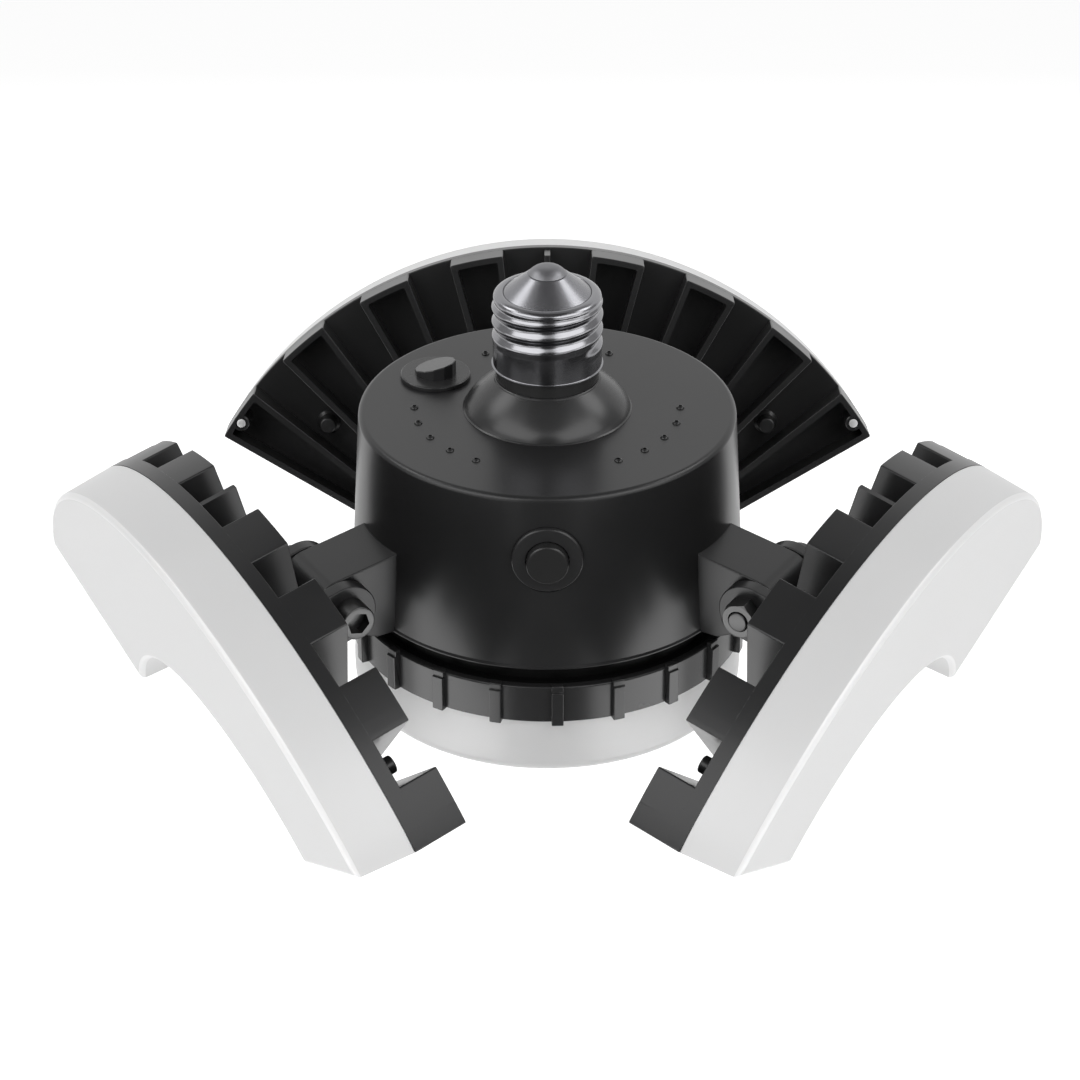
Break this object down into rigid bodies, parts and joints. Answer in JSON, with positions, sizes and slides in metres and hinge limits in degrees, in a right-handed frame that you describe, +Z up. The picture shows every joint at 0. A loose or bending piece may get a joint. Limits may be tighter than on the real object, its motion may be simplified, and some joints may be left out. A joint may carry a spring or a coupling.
{
  "type": "deformable garage light",
  "caption": "Screw-in garage ceiling light: a driver drum with a round central lamp under it and sector-shaped lamp panels that fold up and down on clamped hinges.",
  "frame": {"origin": "on the lamp's axis, where the screw shell's plain skirt starts above its rolled rim", "axes": "+Z up along the lamp's axis towards the socket, +Y towards the rear panel, +X to the right seen from the front, where the push button is"},
  "size_m": [0.2488, 0.2281, 0.1102],
  "materials": {
    "dark_metal": "satin charcoal powder coat on die-cast aluminium",
    "dark_plastic": "satin charcoal moulded plastic",
    "black_plastic": "black moulded plastic, slightly satin",
    "sensor_plastic": "grey satin plastic, a little lighter than the body",
    "milk_plastic": "milky white translucent plastic, frosted",
    "cap_metal": "polished nickel plate",
    "cap_insulator": "grey glazed insulator",
    "black_steel": "black oxide steel, satin",
    "washer_plastic": "black friction washer",
    "zinc_screw": "zinc-plated steel",
    "white_board": "white solder mask on an aluminium board",
    "green_board": "green fibreglass board",
    "led_phosphor": "yellow phosphor chip",
    "transformer_tape": "yellow tape over a ferrite core",
    "capacitor_sleeve": "dark blue shrink sleeve",
    "copper_wire": "enamelled copper wire"
  },
  "bodies": {
    "main_body": {"screw_shell": "cap_metal", "cap_insulator": "cap_insulator", "centre_contact": "cap_metal", "neck_collar": "black_plastic", "neck_cone": "dark_plastic", "driver_housing": "dark_metal", "light_sensor_base": "dark_plastic", "light_sensor_cap": "sensor_plastic", "button_bezel": "dark_plastic", "tact_switch": "black_plastic", "driver_board": "green_board", "driver_transformer": "transformer_tape", "driver_capacitors": "capacitor_sleeve", "driver_inductor": "copper_wire", "driver_terminal": "green_board", "driver_screws": "zinc_screw", "core_plate": "black_plastic", "lock_ring": "dark_plastic", "core_board": "white_board", "core_leds": "led_phosphor", "core_diffuser": "milk_plastic", "core_screws": "zinc_screw"},
    "button": {"push_button": "black_plastic"},
    "rear_panel": {"rear_heat_sink": "dark_metal", "rear_diffuser": "milk_plastic", "rear_led_board": "white_board", "rear_leds": "led_phosphor", "rear_screws": "zinc_screw", "rear_hinge_bolt": "black_steel", "rear_hinge_nut": "black_steel", "rear_hinge_washers": "washer_plastic"},
    "left_panel": {"left_heat_sink": "dark_metal", "left_diffuser": "milk_plastic", "left_led_board": "white_board", "left_leds": "led_phosphor", "left_screws": "zinc_screw", "left_hinge_bolt": "black_steel", "left_hinge_nut": "black_steel", "left_hinge_washers": "washer_plastic"},
    "right_panel": {"right_heat_sink": "dark_metal", "right_diffuser": "milk_plastic", "right_led_board": "white_board", "right_leds": "led_phosphor", "right_screws": "zinc_screw", "right_hinge_bolt": "black_steel", "right_hinge_nut": "black_steel", "right_hinge_washers": "washer_plastic"}
  },
  "joints": [
    {"name": "button_press", "type": "slide", "parent": "main_body", "child": "button", "axis": [0, 1, 0], "range_m": [0, 0.001], "stiffness_N_per_m": 1500, "springref_m": -0.0003},
    {"name": "rear_panel_fold", "type": "hinge", "parent": "main_body", "child": "rear_panel", "pos_m": [0, 0.0606, -0.0453], "axis": [1, 0, 0], "range_deg": [-74.7, 15.3]},
    {"name": "left_panel_fold", "type": "hinge", "parent": "main_body", "child": "left_panel", "pos_m": [-0.05248, -0.0303, -0.0453], "axis": [-0.5, 0.866, 0], "range_deg": [-74.7, 15.3]},
    {"name": "right_panel_fold", "type": "hinge", "parent": "main_body", "child": "right_panel", "pos_m": [0.05248, -0.0303, -0.0453], "axis": [-0.5, -0.866, 0], "range_deg": [-74.7, 15.3]}
  ]
}
